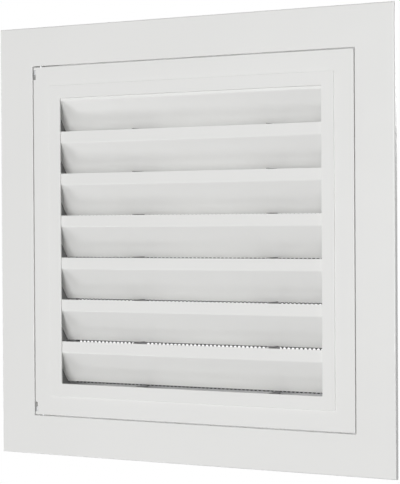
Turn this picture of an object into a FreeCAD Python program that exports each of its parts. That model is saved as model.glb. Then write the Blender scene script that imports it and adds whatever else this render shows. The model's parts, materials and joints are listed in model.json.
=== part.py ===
import FreeCAD, Part
import math
import os

"""Hinged return air grille: a mitred aluminium frame for a wall opening and, hinged in it on two
sprung pins, a door with fixed sight-proof blades and a filter net behind them.

Millimetres, X to the right, Y into the wall, Z up. The origin is the middle of the grille, in the
plane of the wall that the flange lies on, so the flange stands in front of it at negative Y."""

V = FreeCAD.Vector

# Overall size and the frame extrusion
width = 356.0
height = 356.0
flange_width = 32.3
flange_edge = 4.0
frame_wall = 1.5
edge_radius = 1.1
inner_radius = 0.6
neck_depth = 38.0

# Channel behind the flange for the corner keys
frame_key_inset = 8.0
frame_key_room = 11.0
frame_key_rib = 1.2
frame_key_hook = 1.5
frame_key_hook_wall = 1.0
frame_key_leg = 62.0
key_clearance = 0.1

# Screw holes in the neck walls
screw_hole_radius = 2.25
screw_hole_margin = 8.0
screw_hole_inset = 55.7

# Door extrusion
door_gap = 0.8
door_recess = 0.3
outer_band = 16.1
inner_band = 10.6
band_step = 1.0
door_wall = 1.4
door_side_wall = 1.2
door_side_depth = 6.5
door_back_lip = 6.0
door_edge_radius = 0.5
band_radius = 0.3
band_overhang = 8.0
core_depth = 22.6
core_flange = 12.5
door_key_inset = 9.6
door_key_rib = 1.0
door_key_hook = 1.5
door_key_hook_wall = 1.0
door_key_slot = 1.7
door_key_leg = 44.0

# Blades, set back from the raised inner band
blade_count = 7
blade_wall = 1.2
blade_lip = 9.2
blade_lip_hidden = 7.05
blade_run = 19.1
blade_tail_rise = 0.2
blade_bend = 0.6
blade_recess = 1.6
blade_end_play = 0.3
blade_foot_play = 0.2
blade_cope = 2.0

# Combs that carry the blades
comb_wall = 1.0
comb_front_play = 0.1
comb_slot_play = 0.1
comb_back_play = 0.3
support_wall = 1.2
support_left_x = -50.0
support_spacing = 121.0
support_tooth_rise = 0.8
tenon_depth = 2.6
tenon_play = 0.1

# Blind rivets in the door
rivet_radius = 1.2
rivet_head_radius = 2.3
rivet_head = 0.7
rivet_tail = 1.6
rivet_play = 0.05
comb_rivet_y = 11.5
comb_rivet_below_lip = 3.0

# Sprung hinge pins, with a finger tab in a notch at the door's edge
pin_inset = 6.0
pin_depth = 2.9
pin_radius = 1.1
pin_play = 0.06
pin_reach = 2.6
pin_travel = 4.0
pin_tail = 13.5
tab_start = 2.5
tab_length = 3.9
tab_play = 0.1
tab_edge_inset = 0.35
tab_front_inset = 0.9
tab_depth = 3.3
notch_width = 2.3
notch_depth = 5.0
guide_start = 1.3
guide_length = 24.7
guide_width = 7.2
spring_length = 10.0
spring_wire_radius = 0.2
spring_wire_sides = 4
spring_turn_runs = 10
spring_turns = 4

# Magnetic catch on the other side: magnets on angles that the door shuts against
magnet_length = 24.0
magnet_width = 5.0
magnet_depth = 4.0
magnet_inset = 48.9
catch_play = 0.3
angle_wall = 1.2
angle_length = 32.0
angle_leg = 12.0
keeper_wall = 1.0
keeper_length = 30.0

# Filter in its channel frame, held by two hooks and two turn clips
filter_overlap = 3.6
filter_channel = 10.6
filter_depth = 6.0
filter_wall = 0.8
filter_seat_play = 0.2
net_wall = 0.8
net_play = 0.2
net_columns = 7
net_rows = 8
net_strand = 3.4
clip_wall = 1.5
clip_width = 9.0
clip_reach = 13.0
clip_pivot_inset = 4.6
clip_inset = 51.8
clip_play = 0.3
clip_screw_radius = 2.0
clip_screw_play = 0.06
clip_end_play = 0.1
clip_spacer_radius = 3.4
clip_screw_head_radius = 3.6
clip_screw_head = 1.6
clip_screw_tip = 5.0
hook_width = 14.0
hook_wall = 1.2
hook_foot = 7.0
hook_grip = 8.0

# How far a cutting shape reaches past what it cuts
overrun = 1.0

# Sizes that follow from the ones above
front = -flange_edge
neck_inner_x = width / 2 - flange_width
neck_inner_z = height / 2 - flange_width
door_width = 2 * (neck_inner_x - door_gap)
door_height = 2 * (neck_inner_z - door_gap)
door_face = front + door_recess
band_face = door_face - band_step
door_band = outer_band + inner_band
opening_x = door_width / 2 - door_band
opening_z = door_height / 2 - door_band
core_x = opening_x + band_overhang
core_z = opening_z + band_overhang
door_key_room = door_band - band_overhang - door_wall - door_key_inset
core_back = door_face + core_depth
blade_face = band_face + blade_recess
blade_length = 2 * (core_x - blade_end_play)
blade_field = 2 * opening_z - blade_foot_play + blade_lip_hidden
blade_pitch = blade_field / blade_count
blade_drop = blade_pitch - blade_lip - blade_tail_rise
pin_x = -door_width / 2 + pin_inset
pin_y = door_face + pin_depth
filter_front = core_back + filter_seat_play
filter_back = filter_front + filter_depth
support_xs = (support_left_x, support_left_x + support_spacing)
support_names = ("left", "right")
filter_half_x = core_x + filter_overlap
filter_half_z = core_z + filter_overlap
clip_x = filter_half_x + clip_pivot_inset
clip_z = filter_half_z - clip_inset
magnet_z = door_height / 2 - magnet_inset
magnet_front = door_face + door_side_depth + keeper_wall + catch_play
angle_front = magnet_front + magnet_depth
angle_rivet_y = angle_front + (angle_wall + angle_leg) / 2
spring_radius = pin_radius - spring_wire_radius
clip_front = filter_back + clip_play
hook_x = -filter_half_x - clip_play - hook_wall - hook_foot / 2


def round_corner(before, corner, after, radius):
    """The two ends and the middle of an arc that rounds one corner of an outline."""
    a = (before - corner).normalize()
    b = (after - corner).normalize()
    half = a.getAngle(b) / 2
    run = radius / math.tan(half)
    bisector = (a + b).normalize()
    centre = corner + bisector * (radius / math.sin(half))
    return corner + a * run, centre - bisector * radius, corner + b * run


def outline(corners):
    """A flat face in the YZ plane from (z, y) corners. A third number is that corner's radius."""
    points = [V(0, c[1], c[0]) for c in corners]
    radii = [c[2] if len(c) > 2 else 0 for c in corners]
    edges = []
    ends = []
    for i, point in enumerate(points):
        if radii[i] > 0:
            start, middle, end = round_corner(points[i - 1], point, points[(i + 1) % len(points)], radii[i])
            edges.append(Part.Arc(start, middle, end).toShape())
            ends.append((start, end))
        else:
            ends.append((point, point))
    for i, (start, end) in enumerate(ends):
        after = ends[(i + 1) % len(ends)][0]
        edges.append(Part.LineSegment(end, after).toShape())
    return Part.Face(Part.Wire(Part.__sortEdges__(edges)))


def box(x, y, z):
    """A block from three (low, high) pairs."""
    return Part.makeBox(x[1] - x[0], y[1] - y[0], z[1] - z[0], V(x[0], y[0], z[0]))


def rod(radius, low, high, axis="z", at=(0, 0)):
    """A round bar between two values on one axis, at the two other coordinates."""
    length = high - low
    if axis == "x":
        return Part.makeCylinder(radius, length, V(low, at[0], at[1]), V(1, 0, 0))
    if axis == "y":
        return Part.makeCylinder(radius, length, V(at[0], low, at[1]), V(0, 1, 0))
    return Part.makeCylinder(radius, length, V(at[0], at[1], low), V(0, 0, 1))


def six_sided(radius, low, high, at):
    """A hexagonal bar along Y at (x, z), with its corners at the radius."""
    points = []
    for i in range(6):
        angle = math.pi / 3 * i
        points.append(V(at[0] + radius * math.cos(angle), low, at[1] + radius * math.sin(angle)))
    return Part.Face(Part.makePolygon(points + points[:1])).extrude(V(0, high - low, 0))


def member(section, reach, length, across, turn):
    """One side of a frame: the section run along the side and cut at 45 degrees at both ends.
    It is made as the bottom side and turned about Y to its place."""
    bar = section.extrude(V(length, 0, 0))
    bar.translate(V(-length / 2, 0, 0))
    corners = [(-length / 2, 0), (length / 2, 0), (length / 2 - reach, reach), (reach - length / 2, reach)]
    depth = 2 * (core_depth + neck_depth)
    points = [V(x, -depth / 2, z) for x, z in corners]
    mitre = Part.Face(Part.makePolygon(points + points[:1])).extrude(V(0, depth, 0))
    side = bar.common(mitre)
    side.translate(V(0, 0, -across / 2))
    side.rotate(V(0, 0, 0), V(0, 1, 0), turn)
    return side


def frame_of_members(section, reach, full_width, full_height):
    """The four mitred sides of a rectangular frame."""
    return {
        "bottom": member(section, reach, full_width, full_height, 0),
        "left": member(section, reach, full_height, full_width, 90),
        "top": member(section, reach, full_width, full_height, 180),
        "right": member(section, reach, full_height, full_width, -90),
    }


def corner_key(side_x, side_z, half_x, half_z, inset, room, leg, low, high):
    """An L of flat bar in the key channels of two members that meet at a corner."""
    near = inset + key_clearance
    far = inset + room - key_clearance
    corners = [(near, near), (leg, near), (leg, far), (far, far), (far, leg), (near, leg)]
    points = [V(side_x * (half_x - a), low, side_z * (half_z - b)) for a, b in corners]
    return Part.Face(Part.makePolygon(points + points[:1])).extrude(V(0, high - low, 0))


def strip(points, wall):
    """Corners of a bent strip: the points are its front side, and the wall lies behind them."""
    normals = []
    for (z0, y0), (z1, y1) in zip(points, points[1:]):
        run = math.hypot(z1 - z0, y1 - y0)
        normals.append(((y1 - y0) / run, (z0 - z1) / run))
    back = [(points[0][0] + normals[0][0] * wall, points[0][1] + normals[0][1] * wall)]
    for i in range(1, len(points) - 1):
        n, m = normals[i - 1], normals[i]
        scale = wall / (1 + n[0] * m[0] + n[1] * m[1])
        back.append((points[i][0] + (n[0] + m[0]) * scale, points[i][1] + (n[1] + m[1]) * scale))
    back.append((points[-1][0] + normals[-1][0] * wall, points[-1][1] + normals[-1][1] * wall))
    return list(points) + back[::-1]


def blade_path(top, lip_top):
    """Front side of a blade: a flat lip and a long slope, down to just above the next blade's lip."""
    return [
        (lip_top, blade_face),
        (top - blade_lip, blade_face),
        (top - blade_lip - blade_drop, blade_face + blade_run),
    ]


def blade_tops():
    """Height of each blade's lip, from the top down. The first lip is mostly hidden behind the top
    band, and the last tail ends just above the bottom one."""
    foot = -opening_z + blade_foot_play
    return [foot + blade_pitch * n for n in range(blade_count, 0, -1)]


def blade_section(top, grow=0.0):
    """Section of one blade. With grow it is the slot around the blade."""
    path = blade_path(top, top + grow)
    path = [(z, y - grow) for z, y in path]
    path[-1] = (path[-1][0] - grow, path[-1][1])
    corners = strip(path, blade_wall + 2 * grow)
    if grow > 0:
        return outline(corners)
    bends = {1: blade_bend + blade_wall, 4: blade_bend}
    return outline([corner + (bends[i],) if i in bends else corner for i, corner in enumerate(corners)])


def frame_section():
    """Flange with a turned outer edge, neck, and a channel for the corner keys."""
    back = front + frame_wall
    neck = flange_width
    near = frame_key_inset
    far = frame_key_inset + frame_key_room
    hook = -frame_key_hook_wall
    return outline([
        (0, 0),
        (0, front, edge_radius),
        (neck, front, inner_radius),
        (neck, neck_depth),
        (neck - frame_wall, neck_depth),
        (neck - frame_wall, back),
        (far + frame_key_rib, back),
        (far + frame_key_rib, 0),
        (far - frame_key_hook, 0),
        (far - frame_key_hook, hook),
        (far, hook),
        (far, back),
        (near, back),
        (near, hook),
        (near + frame_key_hook, hook),
        (near + frame_key_hook, 0),
        (near - frame_key_rib, 0),
        (near - frame_key_rib, back),
        (frame_wall, back),
        (frame_wall, 0),
    ])


def door_section():
    """Face with a raised inner band, hooked outer side, key channel, and the core's deep wall, which
    stands back behind the band and turns out into a seat for the filter."""
    floor = door_face + door_wall
    core = door_band - band_overhang
    hook_back = floor + door_key_slot + door_key_hook_wall
    hook_front = floor + door_key_slot
    near = door_key_inset
    far = door_key_inset + door_key_room
    side_back = door_face + door_side_depth
    seat = core_back - door_side_wall
    return outline([
        (0, side_back),
        (0, door_face, door_edge_radius),
        (outer_band, door_face),
        (outer_band, band_face, band_radius),
        (door_band, band_face, door_edge_radius),
        (door_band, band_face + door_wall),
        (core, band_face + door_wall),
        (core, core_back),
        (core - core_flange, core_back),
        (core - core_flange, seat),
        (far, seat),
        (far, hook_back),
        (far - door_key_hook, hook_back),
        (far - door_key_hook, hook_front),
        (far, hook_front),
        (far, floor),
        (near, floor),
        (near, hook_front),
        (near + door_key_hook, hook_front),
        (near + door_key_hook, hook_back),
        (near - door_key_rib, hook_back),
        (near - door_key_rib, floor),
        (door_side_wall, floor),
        (door_side_wall, side_back - door_side_wall),
        (door_back_lip, side_back - door_side_wall),
        (door_back_lip, side_back),
    ])


def frame_parts():
    """The frame's four extrusions with their screw holes and pin holes, and its corner keys."""
    sides = frame_of_members(frame_section(), flange_width, width, height)
    screw_z = neck_inner_z - screw_hole_inset
    for name, side_x in (("left", -1), ("right", 1)):
        for z in (-screw_z, screw_z):
            low = side_x * neck_inner_x - 2 * frame_wall
            hole = rod(screw_hole_radius, low, low + 4 * frame_wall, "x", (neck_depth - screw_hole_margin, z))
            sides[name] = sides[name].cut(hole)
    for name, side_z in (("top", 1), ("bottom", -1)):
        low = side_z * neck_inner_z - 2 * frame_wall
        hole = rod(pin_radius + pin_play, low, low + 4 * frame_wall, "z", (pin_x, pin_y))
        sides[name] = sides[name].cut(hole)
    for z in (-magnet_z, magnet_z):
        at = (angle_rivet_y, z)
        hole = rod(rivet_radius + rivet_play, neck_inner_x, neck_inner_x + frame_wall, "x", at)
        sides["right"] = sides["right"].cut(hole)
    made = {"frame_" + name: side for name, side in sides.items()}
    key_front = front + frame_wall
    key_back = -frame_key_hook_wall - key_clearance
    for name_z, side_z in (("top", 1), ("bottom", -1)):
        for name_x, side_x in (("left", -1), ("right", 1)):
            made["frame_key_" + name_z + "_" + name_x] = corner_key(
                side_x, side_z, width / 2, height / 2,
                frame_key_inset, frame_key_room, frame_key_leg, key_front, key_back)
    return made


def catch_parts():
    """Angles on the neck with the magnets on their fronts, and steel keepers on the door's back."""
    made = {}
    rivets = []
    inner = neck_inner_x - magnet_width
    leg = neck_inner_x - angle_wall
    for name, z in (("upper", magnet_z), ("lower", -magnet_z)):
        span = (z - angle_length / 2, z + angle_length / 2)
        angle = box((inner, neck_inner_x), (angle_front, angle_front + angle_wall), span)
        angle = angle.fuse(box((leg, neck_inner_x), (angle_front, angle_front + angle_leg), span))
        hole = rod(rivet_radius + rivet_play, leg, neck_inner_x, "x", (angle_rivet_y, z))
        made["catch_angle_" + name] = angle.removeSplitter().cut(hole)
        made["magnet_" + name] = box(
            (inner, neck_inner_x),
            (magnet_front, angle_front),
            (z - magnet_length / 2, z + magnet_length / 2))
        made["keeper_" + name] = box(
            (door_width / 2 - door_back_lip, door_width / 2),
            (magnet_front - catch_play - keeper_wall, magnet_front - catch_play),
            (z - keeper_length / 2, z + keeper_length / 2))
        rivets.append(rivet(V(leg, angle_rivet_y, z), V(-1, 0, 0), angle_wall + frame_wall))
    made["catch_rivets"] = Part.makeCompound(rivets)
    return made


def coil(radius, length):
    """A coil spring of square wire along Z, in short straight runs."""
    runs = spring_turns * spring_turn_runs
    path = []
    for i in range(runs + 1):
        angle = 2 * math.pi * i / spring_turn_runs
        path.append(V(radius * math.cos(angle), radius * math.sin(angle), length * i / runs))
    wire = []
    for i in range(spring_wire_sides):
        angle = 2 * math.pi * i / spring_wire_sides
        wire.append(V(radius, 0, 0) + V(math.cos(angle), 0, math.sin(angle)) * spring_wire_radius)
    section = Part.makePolygon(wire + wire[:1])
    return Part.makePolygon(path).makePipeShell([section], True, True, 1)


def pin_parts():
    """A sprung hinge pin for the top corner with its guide and spring, and the same turned over."""
    edge = door_height / 2
    left = -door_width / 2
    at = (pin_x, pin_y)
    pin = rod(pin_radius, edge - pin_tail, edge + pin_reach, "z", at)
    tab_back = door_face + tab_front_inset + tab_depth
    tab_height = (edge - tab_start - tab_length, edge - tab_start)
    finger = box(
        (left + tab_edge_inset, left + notch_width - tab_play),
        (door_face + tab_front_inset, tab_back),
        tab_height)
    root = box((left + tab_edge_inset, pin_x), (door_face + door_wall + tab_play, tab_back), tab_height)
    pin = pin.fuse([finger, root]).removeSplitter()
    guide = box(
        (left + door_side_wall, left + door_side_wall + guide_width),
        (door_face + door_wall, door_face + door_side_depth - door_side_wall),
        (edge - guide_start - guide_length, edge - guide_start))
    bore = rod(pin_radius + pin_play, edge - pin_tail - spring_length, edge, "z", at)
    slot = box(
        (left, pin_x),
        (door_face, tab_back + tab_play),
        (edge - tab_start - tab_length - pin_travel - tab_play, edge - tab_start + tab_play))
    guide = guide.cut(bore).cut(slot)
    spring = coil(spring_radius, spring_length - 2 * spring_wire_radius)
    spring.translate(V(pin_x, pin_y, edge - pin_tail - spring_length + spring_wire_radius))
    made = {}
    for name, solid in (("hinge_pin", pin), ("pin_guide", guide), ("pin_spring", spring)):
        made[name + "_top"] = solid.copy()
        made[name + "_bottom"] = solid.mirror(V(0, 0, 0), V(0, 0, 1))
    return made


def door_parts():
    """The door's four extrusions with the pin holes and tab notches, and its corner keys."""
    sides = frame_of_members(door_section(), door_band, door_width, door_height)
    edge = door_height / 2
    left = -door_width / 2
    for name, side_z in (("top", 1), ("bottom", -1)):
        low, high = sorted((side_z * (edge - 2 * door_side_wall), side_z * (edge + door_side_wall)))
        hole = rod(pin_radius + tab_play, low, high, "z", (pin_x, pin_y))
        sides[name] = sides[name].cut(hole)
        notch_near = edge - tab_start + tab_play
        notch_far = edge - tab_start - tab_length - pin_travel - tab_play
        low, high = sorted((side_z * notch_near, side_z * notch_far))
        notch = box((left - door_gap, left + notch_width), (front, door_face + notch_depth), (low, high))
        sides["left"] = sides["left"].cut(notch)
    for side_x, z in comb_rivet_places():
        name = {-1: "left", 1: "right"}[side_x]
        low, high = sorted((side_x * (core_x - comb_wall), side_x * (core_x + door_wall)))
        hole = rod(rivet_radius + rivet_play, low, high, "x", (comb_rivet_y, z))
        sides[name] = sides[name].cut(hole)
    for x in support_xs:
        for name in ("top", "bottom"):
            sides[name] = sides[name].cut(tenons(x, tenon_play))
    for z in (-clip_z, clip_z):
        tip = rod(clip_screw_radius + rivet_play, core_back - door_wall, core_back, "y", (clip_x, z))
        sides["right"] = sides["right"].cut(tip)
        hole = rod(rivet_radius + rivet_play, core_back - door_wall, core_back, "y", (hook_x, z))
        sides["left"] = sides["left"].cut(hole)
    made = {"door_" + name: side for name, side in sides.items()}
    floor = door_face + door_wall
    for name_z, side_z in (("top", 1), ("bottom", -1)):
        for name_x, side_x in (("left", -1), ("right", 1)):
            made["door_key_" + name_z + "_" + name_x] = corner_key(
                side_x, side_z, door_width / 2, door_height / 2,
                door_key_inset, door_key_room, door_key_leg, floor, floor + door_key_slot - key_clearance)
    return made


def comb_rivet_places():
    """Side and height of the rivets through the end combs, each a little below a blade's lip top."""
    tops = blade_tops()
    picks = (tops[1], tops[-1])
    return [(side_x, top - comb_rivet_below_lip) for side_x in (-1, 1) for top in picks]


def comb_blank(wall, x):
    """A comb before its slots: a plate across the blades, with its back edge left whole."""
    return box(
        (x, x + wall),
        (blade_face + blade_wall + comb_front_play, core_back - comb_back_play),
        (-core_z, core_z))


def tenons(x, play):
    """The two ends of a support comb, which pass through the door's bottom and top walls."""
    back = core_back - comb_back_play
    ends = []
    for side_z in (-1, 1):
        low, high = sorted((side_z * core_z, side_z * (core_z + door_wall)))
        ends.append(box(
            (x - support_wall / 2 - play, x + support_wall / 2 + play),
            (back - tenon_depth - play, back + play),
            (low, high)))
    return ends


def coped_ends(top):
    """What is cut from the two lower corners of a blade, so that its tail stands between the combs."""
    low = top - blade_pitch
    reach = core_x - comb_wall - comb_slot_play
    ends = []
    for side_x in (-1, 1):
        near, far = sorted((side_x * reach, side_x * (core_x + overrun)))
        ends.append(box((near, far), (blade_face, core_back), (low - overrun, low + blade_cope)))
    return ends


def blade_parts():
    """The blades, from the top one down."""
    made = {}
    for n, top in enumerate(blade_tops(), 1):
        blade = blade_section(top).extrude(V(blade_length, 0, 0))
        blade.translate(V(-blade_length / 2, 0, 0))
        made["blade_" + str(n)] = blade.cut(coped_ends(top))
    return made


def slot(top, wall, x, low):
    """The slot for one blade in a comb, down to a given height."""
    cut = blade_section(top, comb_slot_play).extrude(V(wall + 2 * overrun, 0, 0))
    cut.translate(V(x - overrun, 0, 0))
    keep = box(
        (x - overrun, x + wall + overrun),
        (front - overrun, core_back),
        (low, core_z + blade_pitch))
    return cut.common(keep)


def pocket(top, wall, x, low):
    """The open space in front of a blade's slope, down to a given height."""
    path = blade_path(top, top)
    lean = blade_run / blade_drop
    cut = outline([
        (path[1][0], blade_face - overrun),
        path[1],
        (low, path[2][1] + (path[2][0] - low) * lean),
        (low, blade_face - overrun),
    ]).extrude(V(wall + 2 * overrun, 0, 0))
    cut.translate(V(x - overrun, 0, 0))
    return cut


def comb_parts():
    """End combs on the door's side walls, and support combs between them."""
    made = {}
    for name, side_x, x in (("left", -1, -core_x), ("right", 1, core_x - comb_wall)):
        comb = comb_blank(comb_wall, x)
        for top in blade_tops():
            comb = comb.cut(slot(top, comb_wall, x, top - blade_pitch + blade_cope - comb_slot_play))
        for rivet_side, z in comb_rivet_places():
            if rivet_side == side_x:
                comb = comb.cut(rod(rivet_radius + rivet_play, x, x + comb_wall, "x", (comb_rivet_y, z)))
        made["end_comb_" + name] = comb
    foot = -core_z - overrun
    for name, x in zip(support_names, support_xs):
        low = x - support_wall / 2
        comb = comb_blank(support_wall, low)
        for top in blade_tops():
            last = top - blade_pitch < -opening_z + blade_pitch / 2
            tooth_top = -opening_z if last else top - blade_pitch + support_tooth_rise
            comb = comb.cut(slot(top, support_wall, low, foot))
            comb = comb.cut(pocket(top, support_wall, low, tooth_top))
        made["support_comb_" + name] = comb.fuse(tenons(x, 0)).removeSplitter()
    return made


def rivet(at, outward, grip):
    """A rivet with its head at a point, through a grip of sheet and a little beyond it."""
    head = Part.makeCylinder(rivet_head_radius, rivet_head, at, outward)
    shank = Part.makeCylinder(rivet_radius, grip + rivet_tail, at, outward * -1)
    return head.fuse(shank).removeSplitter()


def rivet_parts():
    """The rivets of the end combs and of the filter hooks."""
    rivets = []
    for side_x, z in comb_rivet_places():
        at = V(side_x * (core_x - comb_wall), comb_rivet_y, z)
        rivets.append(rivet(at, V(-side_x, 0, 0), comb_wall + door_wall))
    for z in (-clip_z, clip_z):
        rivets.append(rivet(V(hook_x, core_back + hook_wall, z), V(0, 1, 0), hook_wall + door_side_wall))
    return {"door_rivets": Part.makeCompound(rivets)}


def clip_parts():
    """Turn clips with their shouldered screws on the filter's right, and fixed hooks on its left."""
    made = {}
    screws = []
    clip_back = clip_front + clip_wall
    for name, z in (("upper", clip_z), ("lower", -clip_z)):
        at = (clip_x, z)
        half = clip_width / 2
        clip = box((clip_x - clip_reach, clip_x), (clip_front, clip_back), (z - half, z + half))
        clip = clip.fuse(rod(half, clip_front, clip_back, "y", at)).removeSplitter()
        bore = rod(clip_screw_radius + clip_screw_play, clip_front, clip_back, "y", at)
        made["filter_clip_" + name] = clip.cut(bore)
        head_front = clip_back + clip_end_play
        screw = rod(clip_screw_radius, core_back - clip_screw_tip, head_front, "y", at)
        screw = screw.fuse(six_sided(clip_spacer_radius, core_back, clip_front - clip_end_play, at))
        screw = screw.fuse(rod(clip_screw_head_radius, head_front, head_front + clip_screw_head, "y", at))
        screws.append(screw.removeSplitter())
    made["clip_screws"] = Part.makeCompound(screws)
    for name, z in (("upper", clip_z), ("lower", -clip_z)):
        riser = -filter_half_x - clip_play
        top = filter_back + clip_play
        corners = [
            (riser - hook_wall - hook_foot, core_back),
            (riser, core_back),
            (riser, top),
            (riser + hook_grip, top),
            (riser + hook_grip, top + hook_wall),
            (riser - hook_wall, top + hook_wall),
            (riser - hook_wall, core_back + hook_wall),
            (riser - hook_wall - hook_foot, core_back + hook_wall),
        ]
        points = [V(x, y, z - hook_width / 2) for x, y in corners]
        hook = Part.Face(Part.makePolygon(points + points[:1])).extrude(V(0, 0, hook_width))
        hole = rod(rivet_radius + rivet_play, core_back, core_back + hook_wall, "y", (hook_x, z))
        made["filter_hook_" + name] = hook.cut(hole)
    return made


def net_holes(half_x, half_z, low, high):
    """Staggered six-sided holes over a field of the given half sizes."""
    pitch_x = 2 * half_x / net_columns
    side = 2 * half_z / (1.5 * net_rows + 0.5)
    shrink = 1 - net_strand / pitch_x
    holes = []
    for row in range(net_rows):
        z = -half_z + side + 1.5 * side * row
        odd = row % 2
        for column in range(net_columns - odd):
            x = -half_x + pitch_x * (column + 0.5 + odd / 2)
            corners = [(0.5, 0.5), (0, 1), (-0.5, 0.5), (-0.5, -0.5), (0, -1), (0.5, -0.5)]
            points = [V(x + a * pitch_x * shrink, low, z + b * side * shrink) for a, b in corners]
            holes.append(Part.Face(Part.makePolygon(points + points[:1])).extrude(V(0, high - low, 0)))
    return holes


def filter_parts():
    """The filter: four channel sides and the net that they grip."""
    middle = (filter_front + filter_back) / 2
    section = outline([
        (0, filter_front),
        (filter_channel, filter_front),
        (filter_channel, filter_front + filter_wall),
        (filter_wall, filter_front + filter_wall),
        (filter_wall, filter_back - filter_wall),
        (filter_channel, filter_back - filter_wall),
        (filter_channel, filter_back),
        (0, filter_back),
    ])
    sides = frame_of_members(section, filter_channel, 2 * filter_half_x, 2 * filter_half_z)
    made = {"filter_frame_" + name: side for name, side in sides.items()}
    net_x = filter_half_x - filter_wall - net_play
    net_z = filter_half_z - filter_wall - net_play
    low = middle - net_wall / 2
    high = middle + net_wall / 2
    net = box((-net_x, net_x), (low, high), (-net_z, net_z))
    border = filter_channel - filter_wall - net_play
    made["filter_net"] = net.cut(net_holes(net_x - border, net_z - border, low, high))
    return made


def main():
    made = {}
    for group in (frame_parts, catch_parts, pin_parts, door_parts, blade_parts,
                  comb_parts, rivet_parts, filter_parts, clip_parts):
        made.update(group())
    os.makedirs("parts", exist_ok=True)
    for name, shape in made.items():
        shape.exportStep("parts/" + name + ".step")
        print(name, len(shape.Solids), round(shape.Volume, 1), shape.isValid())


main()
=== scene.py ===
# %% [markdown]
# A return air grille hangs on a wall or ceiling and lets the room's air back into the duct. This one is a
# square frame with a flat flange, and a door in it with seven fixed blades and a filter net behind them.
# Its shape comes ready made from the drawing office, to the millimetre, so this lesson is about finish:
# powder coat, bare sheet, nylon, zinc, the fine net, the light and the camera.

# %% Load the drawing
import json
import math

import bmesh
import bpy
from mathutils import Matrix, Vector

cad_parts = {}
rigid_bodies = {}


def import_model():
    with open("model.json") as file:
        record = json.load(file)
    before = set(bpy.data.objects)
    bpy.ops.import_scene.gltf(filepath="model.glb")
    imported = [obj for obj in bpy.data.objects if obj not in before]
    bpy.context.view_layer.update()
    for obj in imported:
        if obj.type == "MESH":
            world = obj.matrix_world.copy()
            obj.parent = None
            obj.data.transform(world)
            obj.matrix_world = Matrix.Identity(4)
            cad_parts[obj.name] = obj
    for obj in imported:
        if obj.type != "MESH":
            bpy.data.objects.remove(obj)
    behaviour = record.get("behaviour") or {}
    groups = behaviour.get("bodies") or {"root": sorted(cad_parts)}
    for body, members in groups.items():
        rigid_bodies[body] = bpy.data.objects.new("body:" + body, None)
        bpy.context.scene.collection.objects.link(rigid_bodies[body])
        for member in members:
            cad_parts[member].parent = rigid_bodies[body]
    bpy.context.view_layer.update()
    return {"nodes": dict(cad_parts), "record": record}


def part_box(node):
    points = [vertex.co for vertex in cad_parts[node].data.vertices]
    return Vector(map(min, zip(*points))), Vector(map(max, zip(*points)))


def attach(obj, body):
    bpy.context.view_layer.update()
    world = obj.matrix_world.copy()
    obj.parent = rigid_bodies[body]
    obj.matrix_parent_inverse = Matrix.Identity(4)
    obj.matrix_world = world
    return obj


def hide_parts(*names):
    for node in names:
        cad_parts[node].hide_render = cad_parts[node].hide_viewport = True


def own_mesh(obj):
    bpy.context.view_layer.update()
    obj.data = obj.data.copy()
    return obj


MM = 0.001
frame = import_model()
nodes = frame["nodes"]

# %% [markdown]
# The photographer stood to the right of the grille and a little above its middle, with a long lens. The
# lens is given by how many pixels of the picture one radian covers. Blender counts a sensor's width along
# the picture's longer side, so the lens follows from the picture's height.

# %% The camera
PICTURE_HEIGHT = 484
FOCAL_PIXELS = 1650.0
SENSOR_WIDTH = 36.0
NEAREST_SEEN = 0.05
FARTHEST_SEEN = 50.0
CAMERA_PLACE = Vector((636.4, -1149.1, 13.3)) * MM
CAMERA_YAW = math.radians(28.57)
CAMERA_PITCH = math.radians(-0.62)
CAMERA_ROLL = math.radians(-0.33)


def make_camera():
    """A camera that looks along +Y, turned left by the yaw, raised by the pitch and rolled."""
    data = bpy.data.cameras.new("camera")
    data.sensor_width = SENSOR_WIDTH
    data.lens = FOCAL_PIXELS / PICTURE_HEIGHT * data.sensor_width
    data.clip_start = NEAREST_SEEN
    data.clip_end = FARTHEST_SEEN
    camera = bpy.data.objects.new("camera", data)
    bpy.context.scene.collection.objects.link(camera)
    upright = Matrix.Rotation(math.pi / 2 + CAMERA_PITCH, 4, "X")
    turned = Matrix.Rotation(CAMERA_YAW, 4, "Z") @ upright @ Matrix.Rotation(CAMERA_ROLL, 4, "Z")
    camera.matrix_world = Matrix.Translation(CAMERA_PLACE) @ turned
    bpy.context.scene.camera = camera
    return camera


camera = make_camera()
print("lens", round(camera.data.lens, 1), "mm")

# %% [markdown]
# The photograph's background is pure white. A world colour that only the camera, mirrors and glass see gives
# that without more light on the object, and a second, far weaker colour fills the shadows from all round.

# %% The world
bpy.context.scene.view_settings.view_transform = "Standard"
BACKGROUND = (1.0, 1.0, 1.0, 1.0)
AMBIENT = (1.0, 1.0, 0.995, 1.0)
AMBIENT_STRENGTH = 0.07


def seen_rays(tree):
    """A value that is 1 for the camera, for gloss and through glass, and 0 for the light on dull surfaces."""
    path = tree.nodes.new("ShaderNodeLightPath")
    first = tree.nodes.new("ShaderNodeMath")
    first.operation = "MAXIMUM"
    tree.links.new(path.outputs["Is Camera Ray"], first.inputs[0])
    tree.links.new(path.outputs["Is Glossy Ray"], first.inputs[1])
    second = tree.nodes.new("ShaderNodeMath")
    second.operation = "MAXIMUM"
    tree.links.new(first.outputs[0], second.inputs[0])
    tree.links.new(path.outputs["Is Transmission Ray"], second.inputs[1])
    return second.outputs[0]


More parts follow.
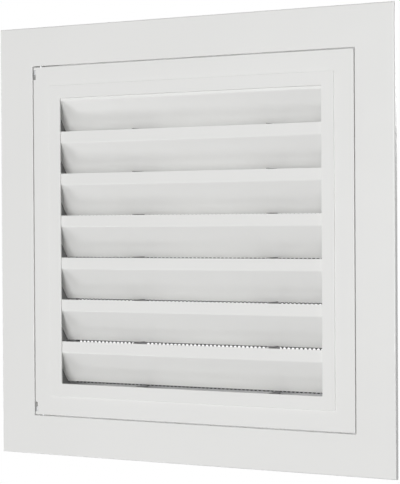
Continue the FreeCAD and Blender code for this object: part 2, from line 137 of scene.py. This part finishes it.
def make_world():
    """A world of two backgrounds: a white one that is seen, and a weak one that lights."""
    world = bpy.data.worlds.new("studio")
    world.use_nodes = True
    tree = world.node_tree
    tree.nodes.clear()
    soft = tree.nodes.new("ShaderNodeBackground")
    soft.inputs["Color"].default_value = AMBIENT
    soft.inputs["Strength"].default_value = AMBIENT_STRENGTH
    white = tree.nodes.new("ShaderNodeBackground")
    white.inputs["Color"].default_value = BACKGROUND
    white.inputs["Strength"].default_value = 1.0
    mix = tree.nodes.new("ShaderNodeMixShader")
    out = tree.nodes.new("ShaderNodeOutputWorld")
    tree.links.new(seen_rays(tree), mix.inputs["Fac"])
    tree.links.new(soft.outputs[0], mix.inputs[1])
    tree.links.new(white.outputs[0], mix.inputs[2])
    tree.links.new(mix.outputs[0], out.inputs["Surface"])
    bpy.context.scene.world = world
    return world


print("world", make_world().name, "fills the shadows at", AMBIENT_STRENGTH)

# %% [markdown]
# Nearly all the light comes from the front, so that the slopes of the blades are almost as bright as their
# lips and the dark stays in the corners behind the band. A wide lamp stands a little to the right of the
# middle, two weaker ones are low on either side, one grazes the right edge, and one is behind for the back.

# %% The lamps
LAMP_DISTANCE = 3.0
WIDE_LAMP = 1.6
SMALL_LAMP = 1.1


def soft_lamp(name, azimuth, elevation, size, watts):
    """A square area lamp that looks at the origin. Azimuth 0 is straight in front, and 90 is on the right."""
    data = bpy.data.lights.new(name, "AREA")
    data.shape = "SQUARE"
    data.size = size
    data.energy = watts
    lamp = bpy.data.objects.new(name, data)
    turn = math.radians(azimuth)
    rise = math.radians(elevation)
    toward = Vector((math.sin(turn) * math.cos(rise), -math.cos(turn) * math.cos(rise), math.sin(rise)))
    lamp.location = toward * LAMP_DISTANCE
    lamp.rotation_mode = "QUATERNION"
    lamp.rotation_quaternion = (-toward).to_track_quat("-Z", "Y")
    bpy.context.scene.collection.objects.link(lamp)
    return lamp


lamps = [
    soft_lamp("lamp_front", 6.0, 8.0, WIDE_LAMP, 54.0),
    soft_lamp("lamp_low_right", 20.0, -14.0, SMALL_LAMP, 14.0),
    soft_lamp("lamp_low_left", -50.0, -40.0, SMALL_LAMP, 14.0),
    soft_lamp("lamp_side", 87.0, 6.0, SMALL_LAMP, 6.5),
    soft_lamp("lamp_back", 165.0, 20.0, WIDE_LAMP, 60.0),
]
print("lamps", len(lamps), "with", sum(lamp.data.energy for lamp in lamps), "watts")

# %% [markdown]
# Every finish here is one Principled shader whose colour, gloss and skin are varied a little by noise. The
# noise reads Object coordinates, which are metres, so that a grain has its real size on a large piece and
# on a small one. Image textures would need unwrapping, and the drawn pieces have no unwrapped surface.

# %% Helpers for materials
NOISE_LOW = 0.3
NOISE_HIGH = 0.7


def shader_material(name, colour, roughness, metallic=0.0):
    """A material with one Principled shader, and its node tree."""
    material = bpy.data.materials.new(name)
    material.use_nodes = True
    shader = material.node_tree.nodes["Principled BSDF"]
    shader.inputs["Base Color"].default_value = (*colour, 1.0)
    shader.inputs["Roughness"].default_value = roughness
    shader.inputs["Metallic"].default_value = metallic
    return material, material.node_tree, shader


def noise(tree, scale, detail, stretch=(1.0, 1.0, 1.0)):
    """Noise on Object coordinates: scale is in turns a metre, and stretch slows it along an axis."""
    place = tree.nodes.new("ShaderNodeTexCoord")
    turn = tree.nodes.new("ShaderNodeMapping")
    turn.inputs["Scale"].default_value = stretch
    grain = tree.nodes.new("ShaderNodeTexNoise")
    grain.inputs["Scale"].default_value = scale
    grain.inputs["Detail"].default_value = detail
    tree.links.new(place.outputs["Object"], turn.inputs["Vector"])
    tree.links.new(turn.outputs["Vector"], grain.inputs["Vector"])
    return grain.outputs["Fac"]


def spread(tree, value, low, high):
    """Maps noise, which keeps near the middle of its range, to low and high."""
    ramp = tree.nodes.new("ShaderNodeMapRange")
    ramp.inputs["From Min"].default_value = NOISE_LOW
    ramp.inputs["From Max"].default_value = NOISE_HIGH
    ramp.inputs["To Min"].default_value = low
    ramp.inputs["To Max"].default_value = high
    tree.links.new(value, ramp.inputs["Value"])
    return ramp.outputs["Result"]


def shade(tree, shader, value, dark, light):
    """Mixes two close colours by a value, for the shader's base colour."""
    mix = tree.nodes.new("ShaderNodeMix")
    mix.data_type = "RGBA"
    mix.inputs["A"].default_value = (*dark, 1.0)
    mix.inputs["B"].default_value = (*light, 1.0)
    tree.links.new(value, mix.inputs["Factor"])
    tree.links.new(mix.outputs["Result"], shader.inputs["Base Color"])


def bumps(tree, shader, value, height):
    """A bump of a real height in metres."""
    bump = tree.nodes.new("ShaderNodeBump")
    bump.inputs["Strength"].default_value = 1.0
    bump.inputs["Distance"].default_value = height
    tree.links.new(value, bump.inputs["Height"])
    tree.links.new(bump.outputs["Normal"], shader.inputs["Normal"])


# %% [markdown]
# Powder coat is a thick baked paint. From close by its skin has a very fine orange peel. Its gloss is low
# enough to be soft and high enough that a surface seen at a flat angle catches the white background.

# %% The white powder coat
PAINT = (0.900, 0.900, 0.888)
PAINT_DARK = (0.885, 0.885, 0.872)
PAINT_ROUGHNESS = 0.23
PAINT_GLOSS_PLAY = 0.03
TINT_SCALE = 9.0
GLOSS_SCALE = 60.0
PEEL_SCALE = 900.0
PEEL_HEIGHT = 0.02 * MM


def powder_coat(name):
    """White paint with a faint drift of colour and gloss, and a fine orange peel."""
    material, tree, shader = shader_material(name, PAINT, PAINT_ROUGHNESS)
    shade(tree, shader, spread(tree, noise(tree, TINT_SCALE, 3.0), 0.0, 1.0), PAINT_DARK, PAINT)
    low = PAINT_ROUGHNESS - PAINT_GLOSS_PLAY
    high = PAINT_ROUGHNESS + PAINT_GLOSS_PLAY
    tree.links.new(spread(tree, noise(tree, GLOSS_SCALE, 2.0), low, high), shader.inputs["Roughness"])
    bumps(tree, shader, noise(tree, PEEL_SCALE, 2.0), PEEL_HEIGHT)
    return material


# %% [markdown]
# The pieces inside aren't painted. Rolled alloy has fine lines along the way it was rolled, which noise gives
# when it is slowed along one axis. Castings and zinc plate have a fine crystalline grain. Nylon and ferrite
# are dull, with a soft mottle in their colour.

# %% Rolled sheet
ROLLED_ALONG_Z = (1.0, 1.0, 0.05)
LINE_SCALE = 700.0
LINE_HEIGHT = 0.008 * MM
ROLLED_GLOSS_PLAY = 0.08
ROLLED_TINT_SCALE = 40.0
ROLLED_DARKER = 0.86


def rolled_sheet(name, colour, roughness, stretch):
    """Rolled alloy: fine lines along the rolling direction, and a dull broad shine."""
    material, tree, shader = shader_material(name, colour, roughness, 1.0)
    lines = noise(tree, LINE_SCALE, 3.0, stretch)
    low = roughness - ROLLED_GLOSS_PLAY
    high = roughness + ROLLED_GLOSS_PLAY
    tree.links.new(spread(tree, lines, low, high), shader.inputs["Roughness"])
    darker = tuple(c * ROLLED_DARKER for c in colour)
    shade(tree, shader, spread(tree, noise(tree, ROLLED_TINT_SCALE, 3.0, stretch), 0.0, 1.0), darker, colour)
    bumps(tree, shader, lines, LINE_HEIGHT)
    return material


# %% Castings and zinc plate
GRAIN_SCALE = 1500.0
GRAIN_HEIGHT = 0.012 * MM
GRAIN_GLOSS_PLAY = 0.07


def cast_metal(name, colour, roughness):
    """Plated or cast metal with a fine crystalline skin."""
    material, tree, shader = shader_material(name, colour, roughness, 1.0)
    grain = noise(tree, GRAIN_SCALE, 3.0)
    low = roughness - GRAIN_GLOSS_PLAY
    high = roughness + GRAIN_GLOSS_PLAY
    tree.links.new(spread(tree, grain, low, high), shader.inputs["Roughness"])
    bumps(tree, shader, grain, GRAIN_HEIGHT)
    return material


# %% Nylon and ferrite
MOTTLE_SCALE = 250.0
MOULD_SCALE = 1200.0
MOULD_HEIGHT = 0.01 * MM
MOTTLE_DARKER = 0.9


def moulded(name, colour, roughness):
    """Nylon or sintered ferrite: a dull skin with a soft mottle."""
    material, tree, shader = shader_material(name, colour, roughness)
    mottle = spread(tree, noise(tree, MOTTLE_SCALE, 3.0), 0.0, 1.0)
    darker = tuple(c * MOTTLE_DARKER for c in colour)
    shade(tree, shader, mottle, darker, colour)
    bumps(tree, shader, noise(tree, MOULD_SCALE, 2.0), MOULD_HEIGHT)
    return material


# %% Every piece gets its finish
# The combs' dark grey is partly the bare sheet's own tone and partly painted shade. It darkens them where
# they stand in the shaded pockets behind the band and between the blades.
SHEET_GREY_AND_SHADE = (0.33, 0.33, 0.33)
CASTING = (0.55, 0.55, 0.56)
ZINC = (0.58, 0.59, 0.60)
NYLON = (0.72, 0.72, 0.69)
NET = (0.045, 0.045, 0.047)
FERRITE = (0.035, 0.034, 0.036)

finishes = {
    "frame_paint": powder_coat("frame_paint"),
    "door_paint": powder_coat("door_paint"),
    "blade_paint": powder_coat("blade_paint"),
    "catch_alloy": rolled_sheet("catch_alloy", CASTING, 0.45, ROLLED_ALONG_Z),
    "key_alloy": cast_metal("key_alloy", CASTING, 0.5),
    # comb_sheet: its dark grey is partly painted shade of the pockets the combs stand in.
    "comb_sheet": rolled_sheet("comb_sheet", SHEET_GREY_AND_SHADE, 0.5, ROLLED_ALONG_Z),
    "filter_alloy": rolled_sheet("filter_alloy", CASTING, 0.4, ROLLED_ALONG_Z),
    "net_nylon": moulded("net_nylon", NET, 0.5),
    "guide_nylon": moulded("guide_nylon", NYLON, 0.45),
    "magnet_ferrite": moulded("magnet_ferrite", FERRITE, 0.6),
    "steel_zinc": cast_metal("steel_zinc", ZINC, 0.32),
}
slot_of = {part["node"]: part["material_slot"] for part in frame["record"]["subparts"]}


def finish_node(name, slot_name):
    """Gives one drawn piece the finish of its slot in the record."""
    slots = nodes[name].data.materials
    slots.clear()
    slots.append(finishes[slot_name])


for name, slot_name in slot_of.items():
    finish_node(name, slot_name)
print("finishes", len(finishes), "on", len(slot_of), "pieces")

# %% [markdown]
# The drawing keeps the filter's net coarse. The real one is taken to be a fine honeycomb of nylon, and
# through the slits it shows as a row of bright dots. One six-sided cell is made, copied over the field in
# staggered rows, welded, inset to leave the strands, and given its thickness.

# %% The filter net
NET_PITCH = 3.65 * MM
NET_STRAND = 0.85 * MM
NET_WALL = 0.5 * MM
NET_MARGIN = 6.0 * MM
NET_WELD = 0.05 * NET_PITCH
CELL_SIDES = 6


def make_net():
    """The fine net that stands for the drawn one. Returns its number of faces."""
    low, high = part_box("filter_net")
    centre = (low + high) / 2
    row_step = NET_PITCH * math.sqrt(3) / 2
    columns = int((high.x - low.x - 2 * NET_MARGIN) / NET_PITCH)
    rows = int((high.z - low.z - 2 * NET_MARGIN) / row_step)
    shape = bmesh.new()
    stand = Matrix.Rotation(math.pi / 2, 4, "X")
    for row in range(rows):
        for column in range(columns):
            x = (column - (columns - 1) / 2 + (row % 2) / 2 - 0.25) * NET_PITCH
            z = (row - (rows - 1) / 2) * row_step
            place = Matrix.Translation((centre.x + x, centre.y + NET_WALL / 2, centre.z + z)) @ stand
            bmesh.ops.create_circle(
                shape, cap_ends=True, segments=CELL_SIDES, radius=NET_PITCH / math.sqrt(3), matrix=place)
    bmesh.ops.remove_doubles(shape, verts=shape.verts, dist=NET_WELD)
    cells = list(shape.faces)
    bmesh.ops.inset_individual(shape, faces=cells, thickness=NET_STRAND / 2, use_even_offset=True)
    bmesh.ops.delete(shape, geom=cells, context="FACES_ONLY")
    bmesh.ops.recalc_face_normals(shape, faces=shape.faces)
    bmesh.ops.solidify(shape, geom=shape.faces, thickness=NET_WALL)
    bmesh.ops.recalc_face_normals(shape, faces=shape.faces)
    mesh = bpy.data.meshes.new("fine_net")
    shape.to_mesh(mesh)
    shape.free()
    net = bpy.data.objects.new("fine_net", mesh)
    bpy.context.scene.collection.objects.link(net)
    mesh.materials.append(finishes["net_nylon"])
    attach(net, "door")
    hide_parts("filter_net")
    return len(mesh.polygons)


print("net faces", make_net())

# %% [markdown]
# A hinge pin that is pulled back presses its spring against the end of the bore. Each drawn spring gives way
# to a merged copy on the pin's parent body, and the pin's travel says how much of its length would be left.

# %% The pin springs
SPRING_WELD = 0.001 * MM


def make_spring(node, joint):
    """A merged copy of a drawn spring on the joint's parent body. Returns the share of its length that the
    pin's travel leaves.
    """
    low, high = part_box(node)
    shape = bmesh.new()
    shape.from_mesh(nodes[node].data)
    bmesh.ops.remove_doubles(shape, verts=shape.verts, dist=SPRING_WELD)
    mesh = bpy.data.meshes.new("sprung_" + node)
    shape.to_mesh(mesh)
    shape.free()
    spring = bpy.data.objects.new("sprung_" + node, mesh)
    bpy.context.scene.collection.objects.link(spring)
    mesh.materials.append(finishes[slot_of[node]])
    travel = joint["range_m"][1] - joint["range_m"][0]
    share = 1 - travel / (high.z - low.z)
    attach(spring, joint["parent"])
    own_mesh(spring)
    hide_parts(node)
    return share


for joint in frame["record"]["behaviour"]["joints"]:
    for end in joint.get("deforming_nodes", []):
        share = make_spring(end["node"], joint)
        print(end["node"], "keeps", round(share, 2), "of its length")
